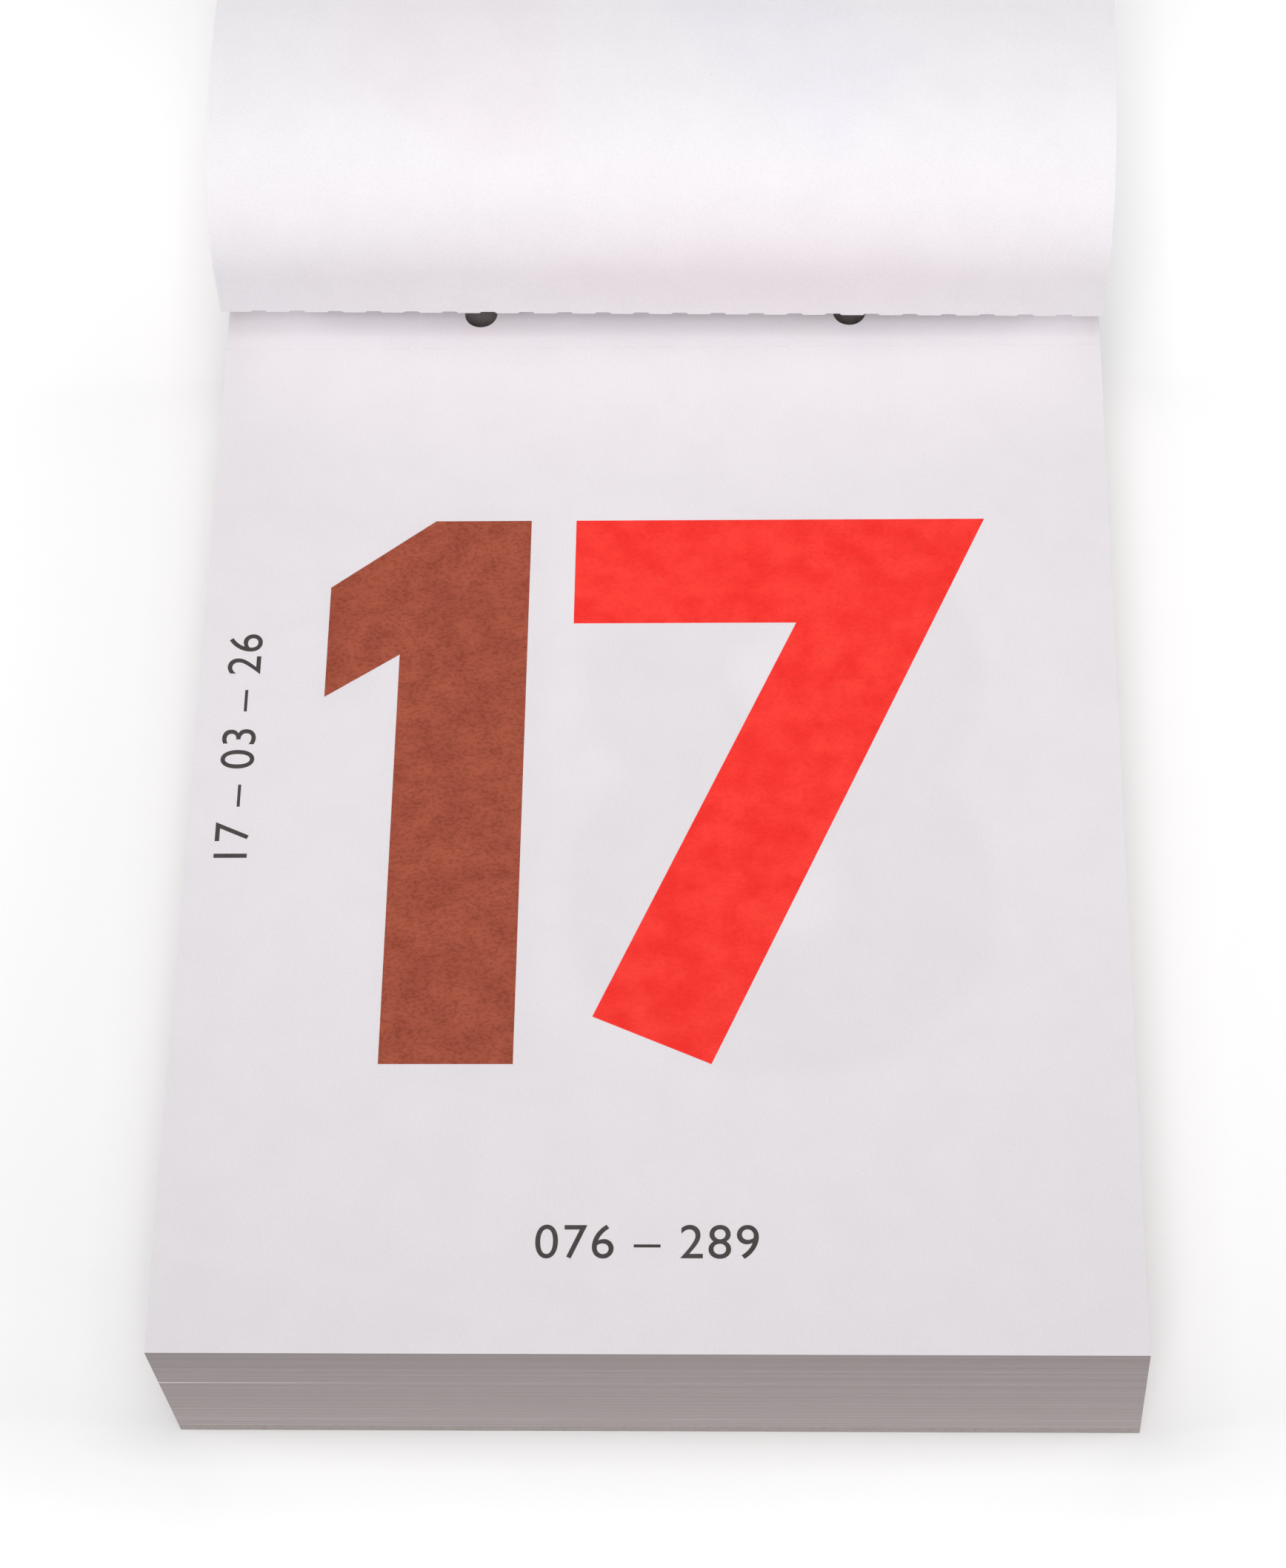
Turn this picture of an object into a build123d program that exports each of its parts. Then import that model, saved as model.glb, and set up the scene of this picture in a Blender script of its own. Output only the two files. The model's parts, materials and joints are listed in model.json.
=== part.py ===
from build123d import *
import math
import os

# Tear-off day calendar, open at one day, with the sheet of the day before folded back over the head.
# X runs across the page, Y from its foot to its head, Z up from the table. Sizes are in mm.

# Paper, board and glue
PAGE_WIDTH = 120.0
PAGE_HEIGHT = 160.0
PAPER = 0.087
BOARD = 1.8
GLUE = 0.5
GLUE_ON_BOARD = 1.2
LEAN = 0.75  # how far the foot of the stack stands to the right of its top

# Perforation across every sheet, which leaves a stub along the head
STUB_DEPTH = 13.8
PERFORATION_PITCHES = 23
TIE_WIDTH = 1.8
TIE_DEPTH = 0.3
SLIT = 0.05

# Two holes through all stubs and the board, for hanging the pad up
HOLE_DIAMETER = 4.5
HOLE_SPACING = 50.8
HOLE_FROM_HEAD = 8.0

# Folded sheet: its stub lifts at the glue, its leaf rises, curls over and falls behind the pad
STUB_TILT = 31.0
ROOT_GAP = 0.03
CREASE_GAP = 0.1
LEAF_SLOPE = 89.0
LEAF_RISE = 8.0
CURL_RADIUS = 19.0
CURL_END_SLOPE = 12.0
DROP_RADIUS = 60.0

# Sheets from the board up: one packet for each month, then single sheets up to the open day
MONTH_SHEETS = {
    "december": 31,
    "november": 30,
    "october": 31,
    "september": 30,
    "august": 31,
    "july": 31,
    "june": 30,
    "may": 31,
    "april": 30,
    "march": 9,
}
SINGLE_DAYS = (22, 21, 20, 19, 18, 17)
OPEN_DAY = SINGLE_DAYS[-1]

FOOT_Y = -PAGE_HEIGHT / 2
HEAD_Y = PAGE_HEIGHT / 2
PERFORATION_Y = HEAD_Y - STUB_DEPTH
HOLE_Y = HEAD_Y - HOLE_FROM_HEAD
PITCH = PAGE_WIDTH / PERFORATION_PITCHES
TOP_Z = BOARD + PAPER * (sum(MONTH_SHEETS.values()) + len(SINGLE_DAYS))


def lean_at(height):
    """Sideways shift of the stack at a height above the table."""
    return LEAN * (0.5 - height / TOP_Z)


def band(low_y, high_y, width=PAGE_WIDTH):
    """Rectangle across the page between two distances along it."""
    return Pos(0, (low_y + high_y) / 2) * Rectangle(width, high_y - low_y)


def tie_places():
    """Distances across the page of the uncut bridges in the perforation."""
    return [(i - PERFORATION_PITCHES / 2) * PITCH for i in range(1, PERFORATION_PITCHES)]


def ties(low_y, high_y):
    """The uncut bridges of the perforation, between two distances along the page."""
    return [Pos(x, 0) * band(low_y, high_y, TIE_WIDTH) for x in tie_places()]


def sheet_outline():
    """A whole sheet, slit along the perforation between the ties."""
    cut = band(PERFORATION_Y - SLIT / 2, PERFORATION_Y + SLIT / 2, PAGE_WIDTH + PITCH)
    slits = cut - ties(PERFORATION_Y - SLIT, PERFORATION_Y + SLIT)
    return band(FOOT_Y, HEAD_Y) - slits


def leaf_outline():
    """The part of a sheet that tears off, notched where the ties join it."""
    return band(FOOT_Y, PERFORATION_Y - SLIT / 2) - ties(PERFORATION_Y - TIE_DEPTH, PERFORATION_Y)


def stub_outline():
    """The part of a sheet that stays in the glue, with the ties on its edge."""
    return band(PERFORATION_Y + SLIT / 2, HEAD_Y) + ties(PERFORATION_Y - TIE_DEPTH, PERFORATION_Y + SLIT)


def layer(outline, base, thickness):
    """An outline raised into a layer of the stack, shifted by the lean at its middle."""
    shift = lean_at(base + thickness / 2)
    return extrude(Pos(shift, 0, base) * outline, amount=thickness)


def drilled_layer(outline, base, thickness):
    """A layer with the two hanging holes, which line up through the whole stack."""
    drill = Cylinder(HOLE_DIAMETER / 2, thickness, align=(Align.CENTER, Align.CENTER, Align.MIN))
    places = [Pos(side * HOLE_SPACING / 2, HOLE_Y, base) for side in (-1, 1)]
    return layer(outline, base, thickness) - [place * drill for place in places]


def spine_glue(top):
    """The film of padding glue over the head of the stack, from the board up to the open day's sheet."""
    base = BOARD - GLUE_ON_BOARD
    corners = []
    for side, height in ((-1, base), (1, base), (1, top), (-1, top)):
        corners.append((lean_at(height) + side * PAGE_WIDTH / 2, HEAD_Y, height))
    return extrude(make_face(Polyline(corners, close=True)), amount=GLUE, dir=(0, 1, 0))


def folded_stub(base):
    """The folded sheet's stub, lifted about the glue at its head edge."""
    flat = drilled_layer(stub_outline(), base, PAPER)
    return flat.rotate(Axis((0, HEAD_Y, base), (1, 0, 0)), -STUB_TILT)


def ahead(point, slope, distance):
    """The point (y, z) reached from another along a slope in degrees."""
    turn = math.radians(slope)
    return (point[0] + distance * math.cos(turn), point[1] + distance * math.sin(turn))


def round_bend(point, slope, radius, next_slope):
    """The middle and end of a downward bend that starts at a point and eases from one slope to another."""
    centre = ahead(point, slope - 90, radius)
    middle = ahead(centre, (slope + next_slope) / 2 + 90, radius)
    return middle, ahead(centre, next_slope + 90, radius)


def leaf_line(crease, depth, drop_slope):
    """Points along the folded leaf from its torn-side edge to its free edge, at a depth below its outer face."""
    curl = CURL_RADIUS - depth
    drop = DROP_RADIUS - depth
    used = TIE_DEPTH + LEAF_RISE
    used += CURL_RADIUS * math.radians(LEAF_SLOPE - CURL_END_SLOPE)
    used += DROP_RADIUS * math.radians(CURL_END_SLOPE - drop_slope)
    inside = ahead(crease, LEAF_SLOPE - 90, depth)
    edge = ahead(inside, LEAF_SLOPE, SLIT / 2 - TIE_DEPTH)
    rise = ahead(inside, LEAF_SLOPE, LEAF_RISE)
    curl_middle, curl_end = round_bend(rise, LEAF_SLOPE, curl, CURL_END_SLOPE)
    drop_middle, drop_end = round_bend(curl_end, CURL_END_SLOPE, drop, drop_slope)
    free_edge = ahead(drop_end, drop_slope, PAGE_HEIGHT - STUB_DEPTH - used)
    return edge, rise, curl_middle, curl_end, drop_middle, drop_end, free_edge


def slope_to_table(crease):
    """The slope at which the leaf's free edge just rests on the table, found by halving."""
    steep, shallow = -90.0, 0.0
    for _ in range(60):
        middle = (steep + shallow) / 2
        if leaf_line(crease, PAPER, middle)[-1][1] < 0:
            steep = middle
        else:
            shallow = middle
    return shallow


def leaf_edges(points, left):
    """Straight and round edges through the points of one face of the leaf, at its left side."""
    edge, rise, curl_middle, curl_end, drop_middle, drop_end, free_edge = [(left, y, z) for y, z in points]
    return [
        Line(edge, rise),
        ThreePointArc(rise, curl_middle, curl_end),
        ThreePointArc(curl_end, drop_middle, drop_end),
        Line(drop_end, free_edge),
    ]


def folded_leaf(base):
    """The folded sheet's leaf, bent over the head with its free edge on the table."""
    shift = lean_at(base + PAPER / 2)
    left = shift - PAGE_WIDTH / 2
    crease = ahead((HEAD_Y, base), 180 - STUB_TILT, STUB_DEPTH + TIE_DEPTH)
    drop_slope = slope_to_table(crease)
    outer = leaf_line(crease, 0, drop_slope)
    inner = leaf_line(crease, PAPER, drop_slope)
    ends = [Line((left, *outer[i]), (left, *inner[i])) for i in (0, -1)]
    profile = make_face(leaf_edges(outer, left) + leaf_edges(inner, left) + ends)
    sheet = extrude(profile, amount=PAGE_WIDTH, dir=(1, 0, 0))
    notch = Box(TIE_WIDTH + CREASE_GAP, 4 * PAPER, TIE_DEPTH + CREASE_GAP)
    notch = Rot(LEAF_SLOPE - 90, 0, 0) * Pos(0, 0, (CREASE_GAP - TIE_DEPTH) / 2) * notch
    return sheet - [Pos(shift + x, *crease) * notch for x in tie_places()]


sheet, stub, leaf = sheet_outline(), stub_outline(), leaf_outline()
parts = {"backing_board": drilled_layer(band(FOOT_Y, HEAD_Y), 0, BOARD)}
height = BOARD
for month, count in MONTH_SHEETS.items():
    parts[f"{month}_sheets"] = drilled_layer(sheet, height, count * PAPER)
    height += count * PAPER
for day in SINGLE_DAYS:
    if day == OPEN_DAY:
        parts["spine_glue"] = spine_glue(height)
    parts[f"stub_{day}"] = drilled_layer(stub, height, PAPER)
    parts[f"leaf_{day}"] = layer(leaf, height, PAPER)
    height += PAPER
parts["folded_stub"] = folded_stub(height + ROOT_GAP)
parts["folded_leaf"] = folded_leaf(height + ROOT_GAP)

os.makedirs("parts", exist_ok=True)
for name, solid in parts.items():
    export_step(solid, f"parts/{name}.step")
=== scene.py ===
import json
import math
import random

import bmesh
import bpy
from mathutils import Matrix, Vector, noise
from mathutils.bvhtree import BVHTree


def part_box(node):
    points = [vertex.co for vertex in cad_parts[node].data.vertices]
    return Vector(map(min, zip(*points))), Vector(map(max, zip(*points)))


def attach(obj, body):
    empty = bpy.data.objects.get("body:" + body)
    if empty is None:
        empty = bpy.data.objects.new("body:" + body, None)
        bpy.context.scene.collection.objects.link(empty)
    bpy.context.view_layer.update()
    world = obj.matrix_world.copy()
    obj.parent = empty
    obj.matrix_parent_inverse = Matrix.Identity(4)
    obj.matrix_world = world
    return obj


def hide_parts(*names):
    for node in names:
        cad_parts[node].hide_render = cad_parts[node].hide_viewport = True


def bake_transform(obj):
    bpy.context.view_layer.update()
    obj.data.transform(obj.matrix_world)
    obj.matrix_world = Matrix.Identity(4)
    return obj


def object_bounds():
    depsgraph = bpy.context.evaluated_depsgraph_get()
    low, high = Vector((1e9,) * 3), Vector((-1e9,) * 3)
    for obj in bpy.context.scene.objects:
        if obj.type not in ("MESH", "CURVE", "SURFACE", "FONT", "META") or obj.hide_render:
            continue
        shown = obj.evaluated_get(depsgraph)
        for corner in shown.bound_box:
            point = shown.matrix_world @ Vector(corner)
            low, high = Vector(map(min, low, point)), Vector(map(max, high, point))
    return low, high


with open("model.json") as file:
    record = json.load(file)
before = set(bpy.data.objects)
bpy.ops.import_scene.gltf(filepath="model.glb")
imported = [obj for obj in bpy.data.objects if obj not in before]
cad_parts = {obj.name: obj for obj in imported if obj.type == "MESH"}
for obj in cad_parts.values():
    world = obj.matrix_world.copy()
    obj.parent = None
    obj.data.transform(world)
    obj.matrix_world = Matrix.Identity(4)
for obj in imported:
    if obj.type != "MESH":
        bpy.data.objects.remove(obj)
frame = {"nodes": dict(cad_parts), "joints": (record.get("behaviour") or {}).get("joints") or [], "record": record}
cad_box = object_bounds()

scene = bpy.context.scene
scene.view_settings.view_transform = "Standard"

# Greyboard back
# A stiff board pressed from waste paper lies under the whole pad. It is cut flush with the sheets,
# held to them by the glue along the head, and drilled with them so that the pad can hang.
MM = 0.001
BOARD_ROUNDING = 0.12 * MM
CORNER_ANGLE = 1.0
LEVEL_GAP = 1e-6
BOARD_PULP = (2.5 * MM, 2.5 * MM, 0.4 * MM)
BOARD_FIBRES = (0.9 * MM, 0.25 * MM, 0.08 * MM)
BOARD_RELIEF = 0.04 * MM
HOLE_SIDES = 32

holes = next(mount for mount in frame["record"]["mounts"] if mount["name"] == "hanging_holes")
hole_radius = holes["dims"]["hole_r_mm"] * MM
hole_reach = holes["dims"]["spacing_x_mm"] * MM / 2
hole_places = [Vector((side * hole_reach, holes["pos_m"][1], 0)) for side in (-1, 1)]


def screen_colour(red, green, blue):
    """A colour given as a screen shows it, in steps of 255, as the shaders take it."""
    parts = [part / 255 for part in (red, green, blue)]
    linear = [part / 12.92 if part < 0.04045 else ((part + 0.055) / 1.055) ** 2.4 for part in parts]
    return (*linear, 1.0)


WHITE = screen_colour(255, 255, 255)
PULP_DARK = screen_colour(169, 161, 158)
PULP_LIGHT = screen_colour(180, 171, 168)
FLECK = screen_colour(222, 216, 212)


def start_material(name, roughness, gloss):
    """A new material, with its node tree and its shader."""
    material = bpy.data.materials.new(name)
    material.use_nodes = True
    shader = material.node_tree.nodes["Principled BSDF"]
    shader.inputs["Roughness"].default_value = roughness
    shader.inputs["Specular IOR Level"].default_value = gloss
    return material, material.node_tree, shader


def grain(tree, sizes, detail=3.0):
    """Noise on the piece's own coordinates, with a grain size along each axis."""
    place = tree.nodes.new("ShaderNodeTexCoord")
    spread = tree.nodes.new("ShaderNodeMapping")
    spread.inputs["Scale"].default_value = [1 / size for size in sizes]
    pattern = tree.nodes.new("ShaderNodeTexNoise")
    pattern.inputs["Scale"].default_value = 1.0
    pattern.inputs["Detail"].default_value = detail
    tree.links.new(place.outputs["Object"], spread.inputs["Vector"])
    tree.links.new(spread.outputs["Vector"], pattern.inputs["Vector"])
    return pattern.outputs["Fac"]


def tones(tree, level, *stops):
    """A colour for each level, eased between stops of a level and a colour."""
    ramp = tree.nodes.new("ShaderNodeValToRGB")
    marks = ramp.color_ramp.elements
    while len(marks) < len(stops):
        marks.new(1.0)
    for mark, (position, colour) in zip(marks, stops):
        mark.position = position
        mark.color = colour
    tree.links.new(level, ramp.inputs["Fac"])
    return ramp.outputs["Color"]


def overlay(tree, under, over, amount=1.0):
    """One colour multiplied over another."""
    mix = tree.nodes.new("ShaderNodeMixRGB")
    mix.blend_type = "MULTIPLY"
    mix.inputs["Fac"].default_value = amount
    tree.links.new(under, mix.inputs["Color1"])
    tree.links.new(over, mix.inputs["Color2"])
    return mix.outputs["Color"]


def relief(tree, shader, height, depth):
    """Fine relief of a given depth on a shader."""
    bump = tree.nodes.new("ShaderNodeBump")
    bump.inputs["Distance"].default_value = depth
    tree.links.new(height, bump.inputs["Height"])
    tree.links.new(bump.outputs["Normal"], shader.inputs["Normal"])


def greyboard():
    """Grey pulp with darker and lighter fibres, pressed in layers."""
    material, tree, shader = start_material("greyboard", roughness=0.9, gloss=0.2)
    pulp = tones(tree, grain(tree, BOARD_PULP), (0.3, PULP_DARK), (0.7, PULP_LIGHT))
    fibres = grain(tree, BOARD_FIBRES, detail=5.0)
    flecks = tones(tree, fibres, (0.36, FLECK), (0.5, WHITE))
    tree.links.new(overlay(tree, pulp, flecks, amount=0.8), shader.inputs["Base Color"])
    relief(tree, shader, fibres, BOARD_RELIEF)
    return material


def drilled_face(bm, corners, height):
    """A flat face inside a loop of corners, with the two hanging holes left open."""
    rim = [bm.verts.new((x, y, height)) for x, y in corners]
    for before, after in zip(rim, rim[1:] + rim[:1]):
        bm.edges.new((before, after))
    for place in hole_places:
        centre = Matrix.Translation((place.x, place.y, height))
        bmesh.ops.create_circle(bm, segments=HOLE_SIDES, radius=hole_radius, matrix=centre)
    filled = bmesh.ops.triangle_fill(bm, edges=bm.edges[:], use_beauty=True)
    return [part for part in filled["geom"] if isinstance(part, bmesh.types.BMFace)]


def pull_out(bm, faces, step):
    """Faces extruded by a step, with nothing left behind inside: the new faces and their vertices."""
    edges = dict.fromkeys(edge for face in faces for edge in face.edges)
    made = bmesh.ops.extrude_face_region(bm, geom=[*faces, *edges])["geom"]
    verts = [part for part in made if isinstance(part, bmesh.types.BMVert)]
    bmesh.ops.translate(bm, vec=step, verts=verts)
    return [part for part in made if isinstance(part, bmesh.types.BMFace)], verts


def finished(name, bm, *materials):
    """A piece from a closed bmesh, with its faces turned outwards."""
    bmesh.ops.recalc_face_normals(bm, faces=bm.faces)
    mesh = bpy.data.meshes.new(name)
    bm.to_mesh(mesh)
    bm.free()
    for material in materials:
        mesh.materials.append(material)
    piece = bpy.data.objects.new(name, mesh)
    scene.collection.objects.link(piece)
    return piece


def beside_holes(verts):
    """Those of some vertices that don't lie on a hole's rim."""
    return [vert for vert in verts
            if min((vert.co.xy - place.xy).length for place in hole_places) > 2 * hole_radius]


def board_slab(low, high):
    """The drilled board, with its cut edges slightly crushed."""
    bm = bmesh.new()
    corners = ((low.x, low.y), (high.x, low.y), (high.x, high.y), (low.x, high.y))
    base = drilled_face(bm, corners, low.z)
    pull_out(bm, base, (0, 0, high.z - low.z))
    rim = [edge for edge in bm.edges if edge.is_manifold and edge.calc_face_angle(0.0) > CORNER_ANGLE
           and abs(edge.verts[0].co.z - edge.verts[1].co.z) < LEVEL_GAP
           and len(beside_holes(edge.verts)) == 2]
    bmesh.ops.bevel(bm, geom=rim, offset=BOARD_ROUNDING, offset_type="OFFSET", affect="EDGES",
                    segments=2, profile=0.5, material=-1)
    return bm


board = finished("back_board", board_slab(*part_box("backing_board")), greyboard())
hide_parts("backing_board")
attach(board, "pad")

# Month packets
# The later days lie month by month on the board, each a sheet of uncoated white paper. The block was
# cut in one go after gathering, so its edges are almost flush, each sheet a hair off its neighbours.
PERFORATION_PITCHES = 23
TIE_WIDTH = 1.8 * MM
TIE_DEPTH = 0.3 * MM
SLIT = 0.05 * MM
SHEET_SHIFT = 0.004 * MM
SHEET_TURN = math.radians(0.002)
MONTHS = ("december", "november", "october", "september", "august", "july", "june", "may", "april", "march")
PROUD_SHEET = ("july", 21)
PROUD_STEP = 0.1 * MM
PROUD_LENGTH = 32 * MM
LINE_LENGTH = 240 * MM
LINE_SHEETS = 1.4
BAND_LENGTH = 300 * MM
BAND_HEIGHT = 1.1 * MM
EDGE_RELIEF = 0.0015 * MM
LINE_DARK = screen_colour(250, 249, 249)
BAND_DARK = screen_colour(251, 250, 250)
# Painted bounce light: the edges are lighter at the foot of the block than at its top, as if lit by the table.
EDGE_LOW_BOUNCE_LIT = screen_colour(180, 170, 170)
EDGE_TOP = screen_colour(165, 155, 155)
PAPER_WHITE = screen_colour(220, 215, 219)
PAPER_SHADE = screen_colour(218, 213, 217)

page_low, page_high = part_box("leaf_17")
paper = page_high.z - page_low.z
perforation = page_high.y + SLIT / 2
page_width = page_high.x - page_low.x
pitch = page_width / PERFORATION_PITCHES
block_bottom, block_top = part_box("december_sheets"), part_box("march_sheets")
lean = (block_top[0].x - block_bottom[0].x) / (block_top[0].z - block_bottom[0].z)


def edge_tone(tree):
    """Trimmed-edge colour, lighter low down with painted bounce from the table, and its faint lines, sheet by
    sheet.
    """
    place = tree.nodes.new("ShaderNodeTexCoord")
    along = tree.nodes.new("ShaderNodeSeparateXYZ")
    height = tree.nodes.new("ShaderNodeMapRange")
    height.inputs["From Max"].default_value = page_high.z
    tree.links.new(place.outputs["Object"], along.inputs["Vector"])
    tree.links.new(along.outputs["Z"], height.inputs["Value"])
    # Painted bounce light: the edge colour eases from lighter at the foot to darker at the top.
    colour = tones(tree, height.outputs["Result"], (0.0, EDGE_LOW_BOUNCE_LIT), (1.0, EDGE_TOP))
    lines = grain(tree, (LINE_LENGTH, LINE_LENGTH, LINE_SHEETS * paper), detail=1.0)
    bands = grain(tree, (BAND_LENGTH, BAND_LENGTH, BAND_HEIGHT))
    for pattern, dark in ((lines, LINE_DARK), (bands, BAND_DARK)):
        colour = overlay(tree, colour, tones(tree, pattern, (0.3, dark), (0.7, WHITE)))
    return colour, lines


def faces_and_edges(tree, edges):
    """A mix of two colours on flat sheets: the edges show the one given, the faces the other."""
    place = tree.nodes.new("ShaderNodeTexCoord")
    facing = tree.nodes.new("ShaderNodeSeparateXYZ")
    flat = tree.nodes.new("ShaderNodeMath")
    flat.operation = "ABSOLUTE"
    mix = tree.nodes.new("ShaderNodeMixRGB")
    tree.links.new(place.outputs["Normal"], facing.inputs["Vector"])
    tree.links.new(facing.outputs["Z"], flat.inputs[0])
    tree.links.new(flat.outputs["Value"], mix.inputs["Fac"])
    tree.links.new(edges, mix.inputs["Color1"])
    return mix


def block_edges():
    """Trimmed edges of many sheets, matt and very slightly ribbed, white where a sheet's face shows."""
    material, tree, shader = start_material("block_edges", roughness=0.95, gloss=0.1)
    colour, lines = edge_tone(tree)
    mix = faces_and_edges(tree, colour)
    mix.inputs["Color2"].default_value = PAPER_WHITE
    tree.links.new(mix.outputs["Color"], shader.inputs["Base Color"])
    relief(tree, shader, lines, EDGE_RELIEF)
    return material


def sheet_corners(left, right, foot, head):
    """A sheet's outline, with the outermost slit of the perforation open at each side."""
    reach = pitch - TIE_WIDTH / 2
    near, far = perforation - SLIT / 2, perforation + SLIT / 2
    return ((left, foot), (left + PROUD_LENGTH, foot), (right, foot),
            (right, near), (right - reach, near), (right - reach, far), (right, far),
            (right, head), (left, head),
            (left, far), (left + reach, far), (left + reach, near), (left, near))


def sheet_stack(month):
    """A month's sheets as one closed shell, stepped by the hair that each sheet stands off the next."""
    low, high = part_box(f"{month}_sheets")
    count = round((high.z - low.z) / paper)
    chance = random.Random(month)
    bm = bmesh.new()
    top = drilled_face(bm, sheet_corners(low.x, high.x, low.y, high.y), low.z)
    verts = bm.verts[:]
    shift, turn, proud = Vector((0, 0, 0)), 0.0, 0.0
    for sheet in range(count):
        across = lean * (sheet - count / 2) * paper + chance.gauss(0, SHEET_SHIFT)
        next_shift = Vector((across, chance.gauss(0, SHEET_SHIFT), 0))
        next_turn = chance.gauss(0, SHEET_TURN)
        next_proud = PROUD_STEP if (month, sheet) == PROUD_SHEET else 0.0
        if sheet:
            top, verts = pull_out(bm, top, (0, 0, 0))
        outer = beside_holes(verts)
        bmesh.ops.translate(bm, vec=next_shift - shift, verts=outer)
        bmesh.ops.rotate(bm, cent=(0, 0, 0), matrix=Matrix.Rotation(next_turn - turn, 3, "Z"), verts=outer)
        foot_corner = min(outer, key=lambda vert: vert.co.x + vert.co.y)
        foot_corner.co.y += proud - next_proud
        shift, turn, proud = next_shift, next_turn, next_proud
        top, verts = pull_out(bm, top, (0, 0, paper))
    return bm


edge_paper = block_edges()
for month in MONTHS:
    packet = finished(f"{month}_block", sheet_stack(month), edge_paper)
    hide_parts(f"{month}_sheets")
    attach(packet, "pad")

# Padding glue
# A brushed film of white padding glue binds the head of the block to the board. It dries rubbery,
# thick along the middle and thin at its rim, with the strokes of the brush left in it.
GLUE_CELL = 1.2 * MM
GLUE_RIM = 0.16 * MM
GLUE_RIM_WIDTH = 2.0 * MM
GLUE_GIVE = 0.03 * MM
GLUE_EVEN = 0.82
GLUE_UNEVEN = 0.18
GLUE_CREASE = math.radians(50)
STROKE_LENGTH = 18 * MM
STROKE_HEIGHT = 2.2 * MM
STREAKS = (22 * MM, 22 * MM, 0.5 * MM)
STREAK_RELIEF = 0.12 * MM
GLUE_DARK = screen_colour(222, 218, 208)
GLUE_LIGHT = screen_colour(236, 233, 226)


def padding_glue():
    """Milky dried glue, slightly glossy, streaked along the brush strokes."""
    material, tree, shader = start_material("padding_glue", roughness=0.42, gloss=0.45)
    strokes = grain(tree, STREAKS, detail=4.0)
    milk = tones(tree, strokes, (0.3, GLUE_DARK), (0.7, GLUE_LIGHT))
    tree.links.new(milk, shader.inputs["Base Color"])
    shader.inputs["Subsurface Weight"].default_value = 0.3
    shader.inputs["Subsurface Radius"].default_value = (1.0, 0.9, 0.75)
    shader.inputs["Subsurface Scale"].default_value = 0.4 * MM
    relief(tree, shader, strokes, STREAK_RELIEF)
    return material


def glue_film(low, high):
    """The film as a grid over the head, drawn out to its brushed thickness, clear of a lifted edge."""
    bm = bmesh.new()
    low.y += GLUE_GIVE
    wide, tall = high.x - low.x, high.z - low.z
    across, up = round(wide / GLUE_CELL), round(tall / GLUE_CELL)
    upright = Matrix.Rotation(math.radians(90), 4, "X") @ Matrix.Diagonal((wide / 2, tall / 2, 1, 1))
    middle = Matrix.Translation(((low.x + high.x) / 2, low.y, (low.z + high.z) / 2))
    bmesh.ops.create_grid(bm, x_segments=across, y_segments=up, size=1, matrix=middle @ upright)
    brushed = pull_out(bm, bm.faces[:], (0, high.y - low.y, 0))[1]
    for vert in brushed:
        inset = min(vert.co.x - low.x, high.x - vert.co.x, vert.co.z - low.z, high.z - vert.co.z)
        swell = min(1.0, inset / GLUE_RIM_WIDTH) ** 0.5
        stroke = noise.noise(Vector((vert.co.x / STROKE_LENGTH, 0, vert.co.z / STROKE_HEIGHT)))
        thick = GLUE_RIM + (high.y - low.y - GLUE_RIM) * swell * (GLUE_EVEN + GLUE_UNEVEN * stroke)
        vert.co.y = low.y + thick
    return bm


glue = finished("glue_film", glue_film(*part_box("spine_glue")), padding_glue())
glue.data.shade_smooth()
glue.data.set_sharp_from_angle(angle=GLUE_CREASE)
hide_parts("spine_glue")
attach(glue, "pad")

# Stubs and leaves of this week
# Each day's sheet is perforated: a stub stays in the glue and a leaf tears off. The slits of the
# perforation are cut clean, and the short ties between them still hold the two together.
WEEK_DAYS = (22, 21, 20, 19, 18)
PAPER_CLOUDS = (6 * MM, 6 * MM, 6 * MM)
PAPER_FIBRES = (0.35 * MM, 0.22 * MM, 0.3 * MM)
PAPER_RELIEF = 0.012 * MM
THREAD_DARK = screen_colour(250, 250, 250)


def sheet_paper(name, white, shade):
    """Uncoated paper: clouds in the pulp, fine fibres and a matt, faintly rough face."""
    material, tree, shader = start_material(name, roughness=0.9, gloss=0.15)
    clouds = tones(tree, grain(tree, PAPER_CLOUDS), (0.35, shade), (0.65, white))
    fibres = grain(tree, PAPER_FIBRES, detail=4.0)
    colour = overlay(tree, clouds, tones(tree, fibres, (0.3, THREAD_DARK), (0.6, WHITE)))
    tree.links.new(colour, shader.inputs["Base Color"])
    relief(tree, shader, fibres, PAPER_RELIEF)
    return material, tree, shader, colour


def trim_edges(tree, shader, colour):
    """Keep a colour on a flat sheet's faces, and give its edges the block's tone, painted bounce included."""
    mix = faces_and_edges(tree, edge_tone(tree)[0])
    tree.links.new(colour, mix.inputs["Color2"])
    tree.links.new(mix.outputs["Color"], shader.inputs["Base Color"])


def dress(node, material):
    """Give a node of the frame a finish in place of its plain one."""
    for slot in frame["nodes"][node].material_slots:
        slot.material = material


week_paper, *week_nodes = sheet_paper("week_paper", PAPER_WHITE, PAPER_SHADE)
trim_edges(*week_nodes)
for day in WEEK_DAYS:
    dress(f"stub_{day}", week_paper)
    dress(f"leaf_{day}", week_paper)

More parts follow.
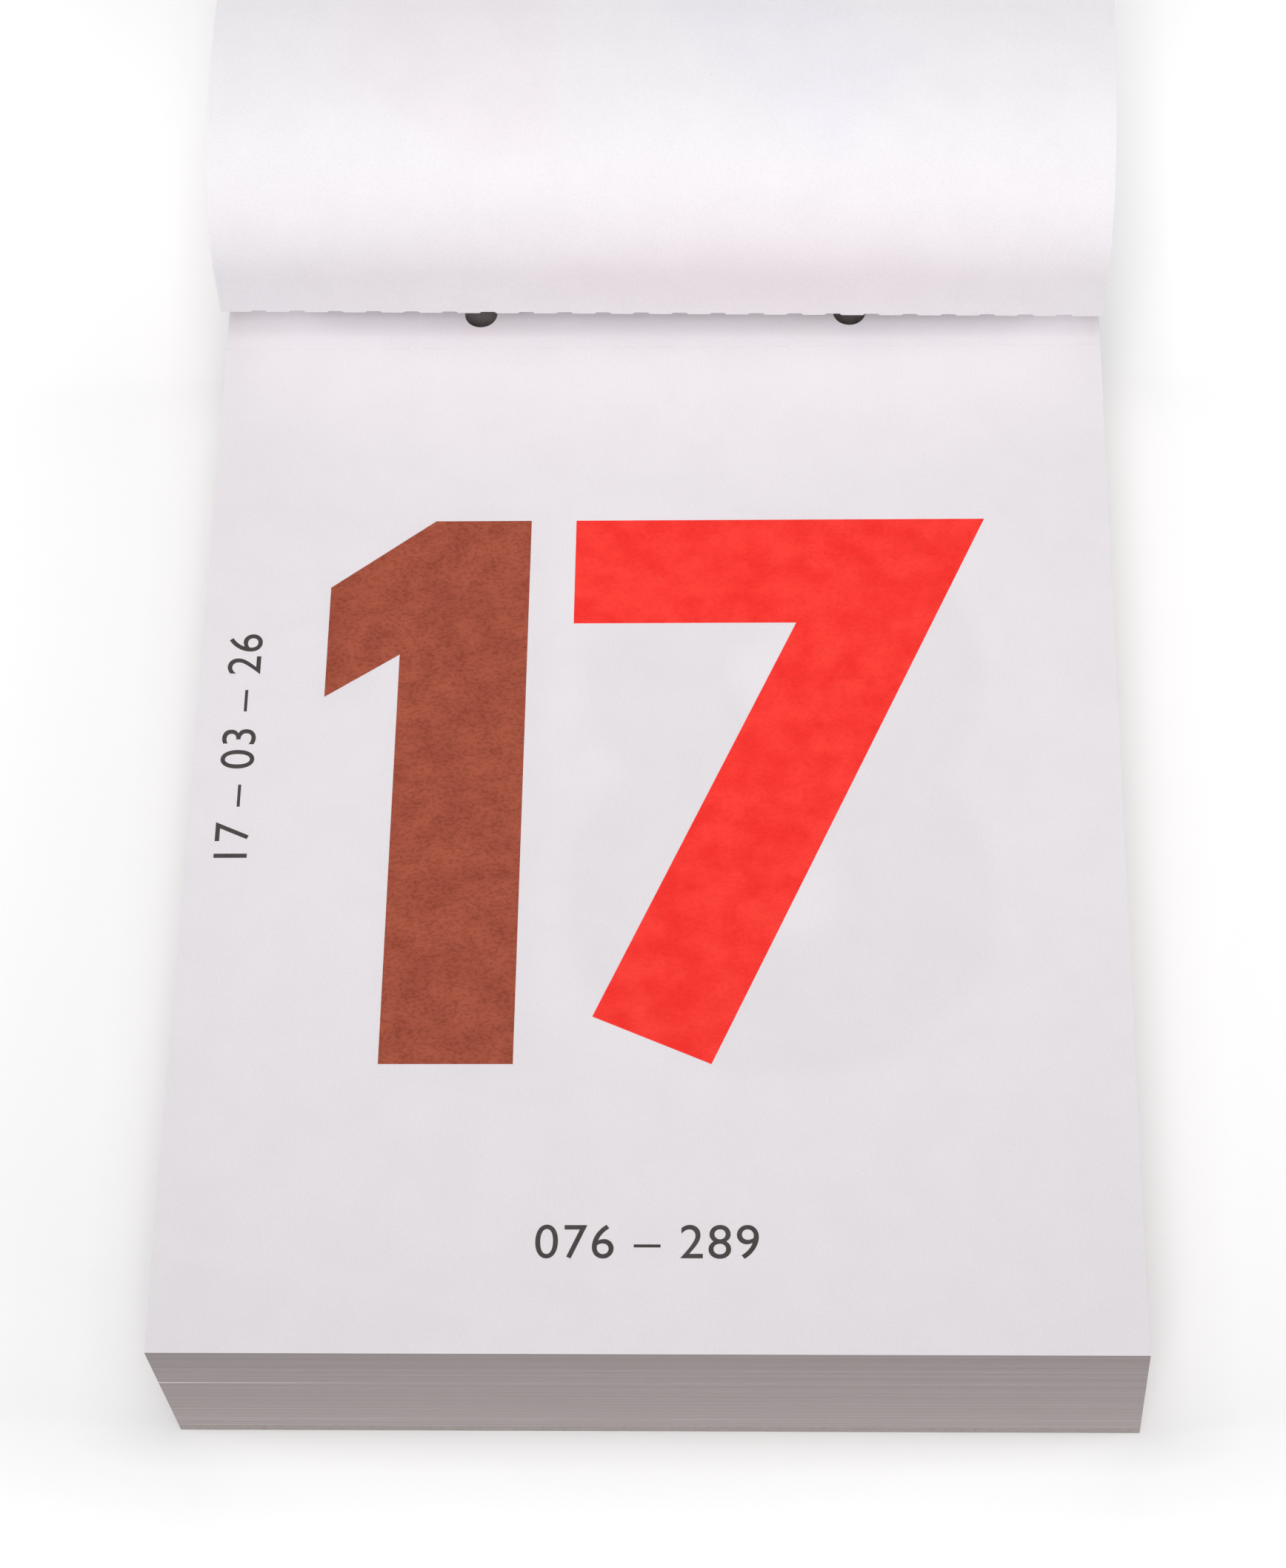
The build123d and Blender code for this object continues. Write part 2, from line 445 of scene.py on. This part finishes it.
# Open day's sheet
# The sheet that shows today is one more sheet of the same paper, on top of the block. Its leaf lies
# flat, still held by its ties, and the print of the next day shows through as a faint shade.
OPEN_DAY = 17
LEAF_CELL = 1.3 * MM
EDGE_CLEARANCE = 0.01 * MM
BESIDE_TIE = 0.6 * TIE_WIDTH
SHEET_CREASE = math.radians(40)
MERGE_GAP = 1e-5
CUT_GAP = 1e-7
DAY_HEIGHT = 80 * MM
DAY_BASELINE = 38 * MM
DAY_WEIGHT = 0.03
FIGURE_GAP = 6 * MM
ONE_OUTLINE = ((0.12, 0), (0.33, 0), (0.33, 1), (0.17, 1), (0, 0.87), (0, 0.66), (0.12, 0.74))
SHOW_THROUGH_REACH = 3.0 * MM
FIRST_SHADE = screen_colour(252, 252, 252)
SECOND_SHADE = screen_colour(251, 251, 251)

leaf_length = perforation - TIE_DEPTH - page_low.y
tie_places = [(i - PERFORATION_PITCHES / 2) * pitch for i in range(1, PERFORATION_PITCHES)]


def figures(words, height, weight=0.0, spacing=1.0):
    """Plain printed figures of a given height as flat faces, standing at the origin."""
    curve = bpy.data.curves.new("figures", "FONT")
    curve.body = words
    curve.offset = weight
    curve.space_character = spacing
    text = bpy.data.objects.new("figures", curve)
    scene.collection.objects.link(text)
    flat = bpy.data.meshes.new_from_object(text)
    bm = bmesh.new()
    bm.from_mesh(flat)
    bpy.data.objects.remove(text)
    bpy.data.curves.remove(curve)
    bpy.data.meshes.remove(flat)
    bmesh.ops.remove_doubles(bm, verts=bm.verts, dist=MERGE_GAP)
    for face in bm.faces:
        face.smooth = False
    left = min(vert.co.x for vert in bm.verts)
    low = min(vert.co.y for vert in bm.verts)
    size = height / (max(vert.co.y for vert in bm.verts) - low)
    bmesh.ops.translate(bm, vec=(-left, -low, 0), verts=bm.verts)
    bmesh.ops.scale(bm, vec=(size, size, 1), verts=bm.verts)
    return bm


def breadth(bm):
    """How far a shape that stands at the origin reaches to the right."""
    return max(vert.co.x for vert in bm.verts)


def large_figure(figure):
    """One large plain figure at the origin: the 1 is a stem with a flag, the 9 is a 6 turned round."""
    if figure == "1":
        bm = bmesh.new()
        bm.faces.new([bm.verts.new((x * DAY_HEIGHT, y * DAY_HEIGHT, 0)) for x, y in ONE_OUTLINE])
        return bm
    if figure != "9":
        return figures(figure, DAY_HEIGHT, DAY_WEIGHT)
    bm = figures("6", DAY_HEIGHT, DAY_WEIGHT)
    middle = (breadth(bm) / 2, DAY_HEIGHT / 2, 0)
    bmesh.ops.rotate(bm, cent=middle, matrix=Matrix.Rotation(math.pi, 3, "Z"), verts=bm.verts)
    return bm


def day_figures(day):
    """The two large figures of a day, side by side: x from the middle of the page, y from its foot."""
    pair = [large_figure(figure) for figure in str(day)]
    left = -(breadth(pair[0]) + FIGURE_GAP + breadth(pair[1])) / 2
    for bm in pair:
        next_left = left + breadth(bm) + FIGURE_GAP
        bmesh.ops.translate(bm, vec=(left, DAY_BASELINE, 0), verts=bm.verts)
        left = next_left
    return pair


def cut_across(bm, places, direction):
    """Cut a flat shape by a plane at each of some places, square to a direction."""
    for place in places:
        everything = bm.verts[:] + bm.edges[:] + bm.faces[:]
        bmesh.ops.bisect_plane(bm, geom=everything, dist=CUT_GAP, plane_co=place, plane_no=direction)


def leaf_rows():
    """Places of the rows of cells down a leaf."""
    rows = round(leaf_length / LEAF_CELL)
    return [(0, row * leaf_length / rows, 0) for row in range(rows)]


def blank_leaf(taper):
    """A flat leaf in cells: x across, y down the page from its ties, the tongues between them tapered."""
    bm = bmesh.new()
    half = page_width / 2
    tongue = EDGE_CLEARANCE - SLIT / 2 - TIE_DEPTH
    corners = ((-half, tongue), (half, tongue), (half, leaf_length), (-half, leaf_length))
    bm.faces.new([bm.verts.new((x, y, 0)) for x, y in corners])
    sides = [(x + side * TIE_WIDTH / 2, 0, 0) for x in tie_places for side in (-1, 0, 1)]
    sides += [((i + third / 3 - PERFORATION_PITCHES / 2) * pitch + (0.5 - third / 3) * TIE_WIDTH, 0, 0)
              for i in range(PERFORATION_PITCHES) for third in (1, 2)]
    cut_across(bm, sides, (1, 0, 0))
    cut_across(bm, leaf_rows(), (0, 1, 0))
    notches = [face for face in bm.faces if face.calc_center_median().y < 0
               and min(abs(face.calc_center_median().x - x) for x in tie_places) < TIE_WIDTH / 2]
    bmesh.ops.delete(bm, geom=notches, context="FACES")
    for vert in bm.verts:
        if vert.co.y < 0 and abs(vert.co.x) < half:
            tie = min(tie_places, key=lambda x: abs(vert.co.x - x))
            aside = vert.co.x - tie
            if abs(aside) < BESIDE_TIE:
                vert.co.x += math.copysign(taper, aside)
    pull_out(bm, bm.faces[:], (0, 0, -paper))
    return bm


def mark_show_through(bm, day):
    """Mark how strongly each figure of a day's print shows through each point of a flat leaf."""
    for layer_name, printed in zip(("first_figure", "second_figure"), day_figures(day)):
        shape = BVHTree.FromBMesh(printed)
        printed.free()
        layer = bm.verts.layers.float.new(layer_name)
        for vert in bm.verts:
            distance = shape.find_nearest(Vector((vert.co.x, leaf_length - vert.co.y, 0)))[3]
            vert[layer] = max(0.0, 1.0 - distance / SHOW_THROUGH_REACH)


def show_through_paper(name, whites, first, second):
    """Sheet paper with the two figures on its other side showing through in faint tints."""
    material, tree, shader, colour = sheet_paper(name, *whites)
    for layer_name, tint in (("first_figure", first), ("second_figure", second)):
        mark = tree.nodes.new("ShaderNodeAttribute")
        mark.attribute_name = layer_name
        colour = overlay(tree, colour, tones(tree, mark.outputs["Fac"], (0.0, WHITE), (1.0, tint)))
    tree.links.new(colour, shader.inputs["Base Color"])
    return material, tree, shader, colour


def open_leaf():
    """The open day's leaf, laid flat on the block."""
    bm = blank_leaf(EDGE_CLEARANCE)
    mark_show_through(bm, OPEN_DAY + 1)
    middle = (page_low.x + page_high.x) / 2
    for vert in bm.verts:
        vert.co = (vert.co.x + middle, perforation - TIE_DEPTH - vert.co.y, page_high.z + vert.co.z)
    return bm


open_paper, *open_nodes = show_through_paper("open_paper", (PAPER_WHITE, PAPER_SHADE),
                                             FIRST_SHADE, SECOND_SHADE)
trim_edges(*open_nodes)
page = finished("open_page", open_leaf(), open_paper)
page.data.shade_smooth()
page.data.set_sharp_from_angle(angle=SHEET_CREASE)
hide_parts("leaf_17")
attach(page, "leaf_17")
dress("stub_17", week_paper)

# Print of the days
# Each leaf carries its day in two large plain figures, with the date in small dark figures up the left
# edge and a count of the year's days at the foot. The ink lies in the paper and takes up its fibres.
INK = 0.005 * MM
INK_CLOUDS = (3.5 * MM, 3.5 * MM, 3.5 * MM)
INK_FIBRES = (0.5 * MM, 0.32 * MM, 0.4 * MM)
SMALL_HEIGHT = 4.4 * MM
SMALL_SPACING = 1.08
DATE_BASELINE = -52 * MM
DATE_START = 67 * MM
COUNT_BASELINE = 12.2 * MM
MONTH_NUMBER = 3
YEAR_NUMBER = 26
DAYS_BEFORE_MONTH = 59
DAYS_OF_YEAR = 365


def printing_ink(name, strong, weak, speck):
    """Matt ink on uncoated paper: cloudy where it sank in, with fibres left lighter and darker."""
    material, tree, shader = start_material(name, roughness=0.85, gloss=0.15)
    clouds = tones(tree, grain(tree, INK_CLOUDS), (0.35, strong), (0.65, weak))
    fibres = grain(tree, INK_FIBRES, detail=5.0)
    threads = tones(tree, fibres, (0.38, speck), (0.55, WHITE))
    tree.links.new(overlay(tree, clouds, threads), shader.inputs["Base Color"])
    relief(tree, shader, fibres, PAPER_RELIEF)
    return material


brown_ink = printing_ink("brown_ink", screen_colour(147, 71, 53), screen_colour(159, 81, 61),
                         screen_colour(228, 222, 218))
red_ink = printing_ink("red_ink", screen_colour(230, 46, 40), screen_colour(238, 59, 51),
                       screen_colour(248, 238, 236))
blue_ink = printing_ink("blue_ink", screen_colour(62, 92, 168), screen_colour(70, 101, 176),
                        screen_colour(232, 234, 240))
dark_ink = printing_ink("dark_ink", screen_colour(66, 60, 60), screen_colour(73, 67, 67),
                        screen_colour(236, 236, 236))
DAY_INKS = {
    16: (red_ink, blue_ink),
    17: (brown_ink, red_ink),
    18: (blue_ink, brown_ink),
    19: (red_ink, brown_ink),
    20: (brown_ink, blue_ink),
    21: (blue_ink, red_ink),
    22: (red_ink, blue_ink),
}


def day_print(day):
    """A day's flat print: names, inks and faces, with x from the page's middle and y from its foot."""
    first, second = day_figures(day)
    date = figures(f"{day} – {MONTH_NUMBER:02d} – {YEAR_NUMBER}", SMALL_HEIGHT, spacing=SMALL_SPACING)
    bmesh.ops.rotate(date, cent=(0, 0, 0), matrix=Matrix.Rotation(math.pi / 2, 3, "Z"), verts=date.verts)
    bmesh.ops.translate(date, vec=(DATE_BASELINE, DATE_START, 0), verts=date.verts)
    past = DAYS_BEFORE_MONTH + day
    count = figures(f"{past:03d} – {DAYS_OF_YEAR - past}", SMALL_HEIGHT, spacing=SMALL_SPACING)
    bmesh.ops.translate(count, vec=(-breadth(count) / 2, COUNT_BASELINE, 0), verts=count.verts)
    first_ink, second_ink = DAY_INKS[day]
    return ((f"day_{day}_first_figure", first_ink, first), (f"day_{day}_second_figure", second_ink, second),
            (f"day_{day}_date", dark_ink, date), (f"day_{day}_count", dark_ink, count))


for day in (*WEEK_DAYS, OPEN_DAY):
    low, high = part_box(f"leaf_{day}")
    for name, ink, bm in day_print(day):
        pull_out(bm, bm.faces[:], (0, 0, 2 * INK))
        place = ((low.x + high.x) / 2, low.y, high.z - INK)
        bmesh.ops.translate(bm, vec=place, verts=bm.verts)
        printed = finished(name, bm, ink)
        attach(printed, f"leaf_{day}")

# Folded sheet
# Yesterday's sheet is folded back over the head, pulled a little askew. Its stub lifts at the glue, more
# at the left than at the right, and its leaf rises from the half-open perforation, curls over and rests
# on the table behind the pad. Its own print is on the inside and shows through as faint tints.
FOLDED_DAY = 16
STUB_TILT_LEFT = math.radians(30)
STUB_TILT_RIGHT = math.radians(23.5)
LEAF_SKEW = 0.018
TONGUE_TAPER = 0.25 * MM
FOLD_EASE = 1.5 * MM
LEAF_SLOPE = math.radians(89)
LEAF_RISE = 8 * MM
CURL_RADIUS = 19 * MM
CURL_END_SLOPE = math.radians(12)
DROP_RADIUS = 60 * MM
HALVINGS = 50
# Painted light: the folded sheet is the page's paper, painted lighter than PAPER_WHITE and PAPER_SHADE for the
# extra light on it.
FOLDED_LIT_WHITE = screen_colour(226, 223, 227)
FOLDED_LIT_SHADE = screen_colour(224, 221, 225)
PINK_THROUGH = screen_colour(255, 252, 252)
BLUE_THROUGH = screen_colour(252, 253, 255)

fold_places = {joint["name"]: Vector(joint["pos_m"]) for joint in frame["joints"] if "pos_m" in joint}
crease, stub_root = fold_places["folded_leaf_turn"], fold_places["folded_stub_lift"]
stub_reach = (crease.yz - stub_root.yz).length
folded_low, folded_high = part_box("folded_leaf")
folded_middle = (folded_low.x + folded_high.x) / 2


def lifted(x, back, up):
    """The y and z that a point of the flat stub comes to, from its distance to the head and its height."""
    share = (x - folded_low.x) / (folded_high.x - folded_low.x)
    tilt = STUB_TILT_LEFT + (STUB_TILT_RIGHT - STUB_TILT_LEFT) * share
    y = stub_root.y - back * math.cos(tilt) + up * math.sin(tilt)
    z = stub_root.z + back * math.sin(tilt) + up * math.cos(tilt)
    return y, z


def lifted_stub():
    """The folded sheet's drilled stub with its ties, lifted about the glue and twisted along its length."""
    near, tip = perforation + SLIT / 2, perforation - TIE_DEPTH
    corners = [(folded_high.x, near), (folded_high.x, stub_root.y),
               (folded_low.x, stub_root.y), (folded_low.x, near)]
    for place in tie_places:
        left, right = folded_middle + place - TIE_WIDTH / 2, folded_middle + place + TIE_WIDTH / 2
        corners += [(left, near), (left, tip), (right, tip), (right, near)]
    bm = bmesh.new()
    drilled_face(bm, corners, 0)
    cut_across(bm, [(folded_middle + place, 0, 0) for place in tie_places], (1, 0, 0))
    pull_out(bm, bm.faces[:], (0, 0, paper))
    for vert in bm.verts:
        vert.co.yz = lifted(vert.co.x, stub_root.y - vert.co.y, vert.co.z)
    return bm


def bend_stretches(drop_slope):
    """The leaf's stretches from its crease: length and bend, the slope lost along each metre."""
    curl = CURL_RADIUS * (LEAF_SLOPE - CURL_END_SLOPE)
    drop = DROP_RADIUS * (CURL_END_SLOPE - drop_slope)
    return ((LEAF_RISE, 0.0), (curl, 1 / CURL_RADIUS), (drop, 1 / DROP_RADIUS), (leaf_length, 0.0))


def over_the_head(run, depth, drop_slope):
    """The place, as y and z, at a distance from the crease and a depth below the leaf's outer face."""
    y, z, slope = crease.y, crease.z, LEAF_SLOPE
    for length, bend in bend_stretches(drop_slope):
        step = min(run, length)
        turn = bend * step
        chord = step if bend == 0.0 else 2 * math.sin(turn / 2) / bend
        y += chord * math.cos(slope - turn / 2)
        z += chord * math.sin(slope - turn / 2)
        slope -= turn
        run -= step
        if run <= 0:
            break
    return y + depth * math.sin(slope), z - depth * math.cos(slope)


def slope_to_table():
    """The slope at which the leaf's free edge just rests on the table, found by halving."""
    steep, shallow = math.radians(-90), 0.0
    for _ in range(HALVINGS):
        middle = (steep + shallow) / 2
        if over_the_head(leaf_length, paper, middle)[1] < 0:
            steep = middle
        else:
            shallow = middle
    return shallow


drop_slope = slope_to_table()


def fold_over(bm):
    """Bend a flat shape over the head: x across, y down the page, z out of the leaf's outer face."""
    for vert in bm.verts:
        x, run = vert.co.x + folded_middle, vert.co.y
        y, z = over_the_head(run, -vert.co.z, drop_slope)
        edge_y, edge_z = lifted(x, stub_reach, 0.0)
        sag = 1 - run / leaf_length
        vert.co = (x + LEAF_SKEW * run, y + sag * (edge_y - crease.y), z + sag * (edge_z - crease.z))


folded_paper = show_through_paper("folded_paper", (FOLDED_LIT_WHITE, FOLDED_LIT_SHADE), PINK_THROUGH, BLUE_THROUGH)[0]
bm = blank_leaf(TONGUE_TAPER)
mark_show_through(bm, FOLDED_DAY)
fold_over(bm)
folded = finished("folded_page", bm, folded_paper)
folded.data.shade_smooth()
folded.data.set_sharp_from_angle(angle=SHEET_CREASE)
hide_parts("folded_leaf")
edge_left, edge_right = [Vector((x, *lifted(x, stub_reach, 0.0))) for x in (folded_low.x, folded_high.x)]
upward = Vector((0, FOLD_EASE, FOLD_EASE))
upward -= upward.project(edge_right - edge_left)
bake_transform(folded)

# The lifted stub is the same sheet and takes the same painted lighter copy of the paper.
stub = finished("lifted_stub", lifted_stub(), sheet_paper("lifted_paper", FOLDED_LIT_WHITE, FOLDED_LIT_SHADE)[0])
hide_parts("folded_stub")
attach(stub, "folded_stub")

for name, ink, bm in day_print(FOLDED_DAY):
    bmesh.ops.scale(bm, vec=(1, -1, 1), verts=bm.verts)
    bmesh.ops.translate(bm, vec=(0, leaf_length, -paper - INK), verts=bm.verts)
    cut_across(bm, leaf_rows(), (0, 1, 0))
    pull_out(bm, bm.faces[:], (0, 0, 2 * INK))
    fold_over(bm)
    printed = finished(name, bm, ink)
    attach(printed, "folded_leaf")

# Table
# A plain white studio table carries the pad. Close to the pad it keeps the soft shadow that the pad and
# the folded leaf throw on it, deepened by painted shade: a glow seen by the camera is weakest at the pad.
# Further out the glow brings it to plain white, more slowly at the sides, where the painted shade reaches further.
TABLE_HALF = 3.0
TABLE_DROP = 0.02 * MM
TABLE_WHITE = screen_colour(228, 228, 228)
# Where the table turns plain white, how much further at the sides, and the glow at each distance: low next to the
# pad, it paints shade there over the real shadow.
WHITE_REACH = 80 * MM
SIDE_REACH = 2.5
TABLE_GLOW = ((0.0, 0.03), (2.5 * MM, 0.10), (5.5 * MM, 0.17), (10 * MM, 0.21), (WHITE_REACH, 1.0))


def seen_directly(tree):
    """1 for rays that show the table or the room: from the camera, a reflection or a glass."""
    path = tree.nodes.new("ShaderNodeLightPath")
    level = path.outputs["Is Camera Ray"]
    for other in ("Is Glossy Ray", "Is Transmission Ray"):
        either = tree.nodes.new("ShaderNodeMath")
        either.operation = "MAXIMUM"
        tree.links.new(level, either.inputs[0])
        tree.links.new(path.outputs[other], either.inputs[1])
        level = either.outputs["Value"]
    return level


def table_white():
    """White laminate that takes the shadow close to the pad, with painted shade there, and shows plain white
    further out.
    """
    material, tree, shader = start_material("table_white", roughness=0.9, gloss=0.0)
    shader.inputs["Base Color"].default_value = TABLE_WHITE
    shader.inputs["Emission Color"].default_value = (1, 1, 1, 1)
    low, high = cad_box
    place = tree.nodes.new("ShaderNodeTexCoord")
    vector = place.outputs["Object"]
    middle, half = (low + high) / 2, (high - low) / 2
    for operation, across, along in (("SUBTRACT", middle.x, middle.y), ("ABSOLUTE", 0, 0),
                                     ("SUBTRACT", half.x, half.y), ("MAXIMUM", 0, 0),
                                     ("DIVIDE", SIDE_REACH, 1)):
        step = tree.nodes.new("ShaderNodeVectorMath")
        step.operation = operation
        step.inputs[1].default_value = (across, along, 0)
        tree.links.new(vector, step.inputs[0])
        vector = step.outputs["Vector"]
    distance = tree.nodes.new("ShaderNodeVectorMath")
    distance.operation = "LENGTH"
    share = tree.nodes.new("ShaderNodeMapRange")
    share.inputs["From Max"].default_value = WHITE_REACH
    glow = tree.nodes.new("ShaderNodeMath")
    glow.operation = "MULTIPLY"
    tree.links.new(vector, distance.inputs[0])
    tree.links.new(distance.outputs["Value"], share.inputs["Value"])
    # Painted shade: the camera's glow is weakest next to the pad and rises outwards, more slowly at the sides.
    stops = [(reach / WHITE_REACH, (level, level, level, 1)) for reach, level in TABLE_GLOW]
    tree.links.new(tones(tree, share.outputs["Result"], *stops), glow.inputs[0])
    tree.links.new(seen_directly(tree), glow.inputs[1])
    tree.links.new(glow.outputs["Value"], shader.inputs["Emission Strength"])
    return material


bm = bmesh.new()
bmesh.ops.create_grid(bm, x_segments=1, y_segments=1, size=TABLE_HALF,
                      matrix=Matrix.Translation((0, 0, -TABLE_DROP)))
table = finished("table", bm, table_white())

# Light and camera
# Six square soft lamps with grids stand round the pad in a white room: before it, above it, behind it, at
# each side, and low at the right of its foot. They aim at its head or its foot. The camera looks down at
# the page from the foot, as the photograph was taken.
HEAD_AIM = Vector((0, 0.15, 0.03))
FOOT_AIM = Vector((0, -0.1, 0.03))
LAMPS = {
    "front_lamp": ((0, -0.45, 0.75), HEAD_AIM, 0.515),
    "top_lamp": ((0, -0.15, 0.85), FOOT_AIM, 0.25),
    "foot_lamp": ((0.6, -0.7, 0.15), FOOT_AIM, 0.19),
    "left_lamp": ((-0.8, 0, 0.25), HEAD_AIM, 0.65),
    "right_lamp": ((0.8, 0, 0.25), HEAD_AIM, 0.73),
    "back_lamp": ((0, 0.8, 0.45), HEAD_AIM, 0.118),
}
LAMP_SIDE = 0.35
LAMP_SPREAD = math.radians(60)
ROOM_LIGHT = 0.1
CAMERA_PLACE = (16.6 * MM, -246.0 * MM, 466.25 * MM)
CAMERA_PITCH = math.radians(60.91)
CAMERA_YAW = math.radians(4.33)
CAMERA_ROLL = math.radians(-3.92)
PHOTO_HEIGHT = 2116
FOCAL_PIXELS = 5268.4
SENSOR = 36.0

for name, (place, aim, power) in LAMPS.items():
    lamp = bpy.data.lights.new(name, "AREA")
    lamp.size = LAMP_SIDE
    lamp.spread = LAMP_SPREAD
    lamp.energy = power
    lamp_object = bpy.data.objects.new(name, lamp)
    lamp_object.location = place
    lamp_object.rotation_euler = (aim - lamp_object.location).to_track_quat("-Z", "Y").to_euler()
    lamp_object.visible_camera = False
    scene.collection.objects.link(lamp_object)

room = bpy.data.worlds.new("room")
room.use_nodes = True
scene.world = room
background = room.node_tree.nodes["Background"]
background.inputs["Color"].default_value = (1, 1, 1, 1)
level = room.node_tree.nodes.new("ShaderNodeMapRange")
level.inputs["To Min"].default_value = ROOM_LIGHT
level.inputs["To Max"].default_value = 1.0
room.node_tree.links.new(seen_directly(room.node_tree), level.inputs["Value"])
room.node_tree.links.new(level.outputs["Result"], background.inputs["Strength"])

camera = bpy.data.cameras.new("camera")
camera.sensor_width = SENSOR
camera.lens = FOCAL_PIXELS / PHOTO_HEIGHT * SENSOR
camera_object = bpy.data.objects.new("camera", camera)
turn = Matrix.Rotation(CAMERA_YAW, 4, "Z")
tilt = Matrix.Rotation(math.radians(90) - CAMERA_PITCH, 4, "X")
roll = Matrix.Rotation(CAMERA_ROLL, 4, "Z")
camera_object.matrix_world = Matrix.Translation(CAMERA_PLACE) @ turn @ tilt @ roll
scene.collection.objects.link(camera_object)
scene.camera = camera_object
